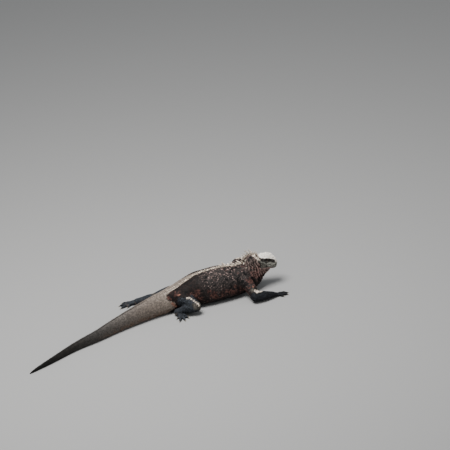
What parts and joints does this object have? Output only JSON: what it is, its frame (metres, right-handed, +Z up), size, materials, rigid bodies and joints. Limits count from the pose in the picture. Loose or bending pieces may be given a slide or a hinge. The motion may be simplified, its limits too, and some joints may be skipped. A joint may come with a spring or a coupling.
{
  "type": "marine iguana",
  "caption": "Life-size still marine iguana basking flat with its head up, spiny crest, splayed clawed feet and a long flattened tail.",
  "frame": {"origin": "on the floor under the middle of the animal's bounding box", "axes": "+X toward the head, +Y toward the animal's left side, +Z up"},
  "size_m": [1.0558, 0.4622, 0.1736],
  "materials": {
    "head_skin": "dry scaly skin, crusted pale with salt on the crown, grey along the jaws",
    "neck_skin": "loose folded skin, brown with brick red in the folds, pale nape spines",
    "body_skin": "fine matt scales, charcoal brown mottled brick red and black, pale crest",
    "tail_skin": "ringed keeled scales, grey brown fading to charcoal at the tip",
    "leg_skin": "slate black scales, dusty and dry in patches",
    "claw": "worn horn, pale at the tips",
    "eye": "wet and glossy, dark brown iris with a round pupil"
  },
  "bodies": {
    "root": {"head": "head_skin", "neck": "neck_skin", "torso_chest": "body_skin", "torso_belly": "body_skin", "torso_pelvis": "body_skin", "tail_1": "tail_skin", "tail_2": "tail_skin", "tail_3": "tail_skin", "tail_4": "tail_skin", "eye_left": "eye", "eye_right": "eye", "front_left_upper_arm": "leg_skin", "front_left_forearm": "leg_skin", "front_left_hand": "leg_skin", "front_left_claw_1": "claw", "front_left_claw_2": "claw", "front_left_claw_3": "claw", "front_left_claw_4": "claw", "front_left_claw_5": "claw", "front_right_upper_arm": "leg_skin", "front_right_forearm": "leg_skin", "front_right_hand": "leg_skin", "front_right_claw_1": "claw", "front_right_claw_2": "claw", "front_right_claw_3": "claw", "front_right_claw_4": "claw", "front_right_claw_5": "claw", "hind_left_thigh": "leg_skin", "hind_left_shin": "leg_skin", "hind_left_foot": "leg_skin", "hind_left_claw_1": "claw", "hind_left_claw_2": "claw", "hind_left_claw_3": "claw", "hind_left_claw_4": "claw", "hind_left_claw_5": "claw", "hind_right_thigh": "leg_skin", "hind_right_shin": "leg_skin", "hind_right_foot": "leg_skin", "hind_right_claw_1": "claw", "hind_right_claw_2": "claw", "hind_right_claw_3": "claw", "hind_right_claw_4": "claw", "hind_right_claw_5": "claw"}
  },
  "joints": []
}
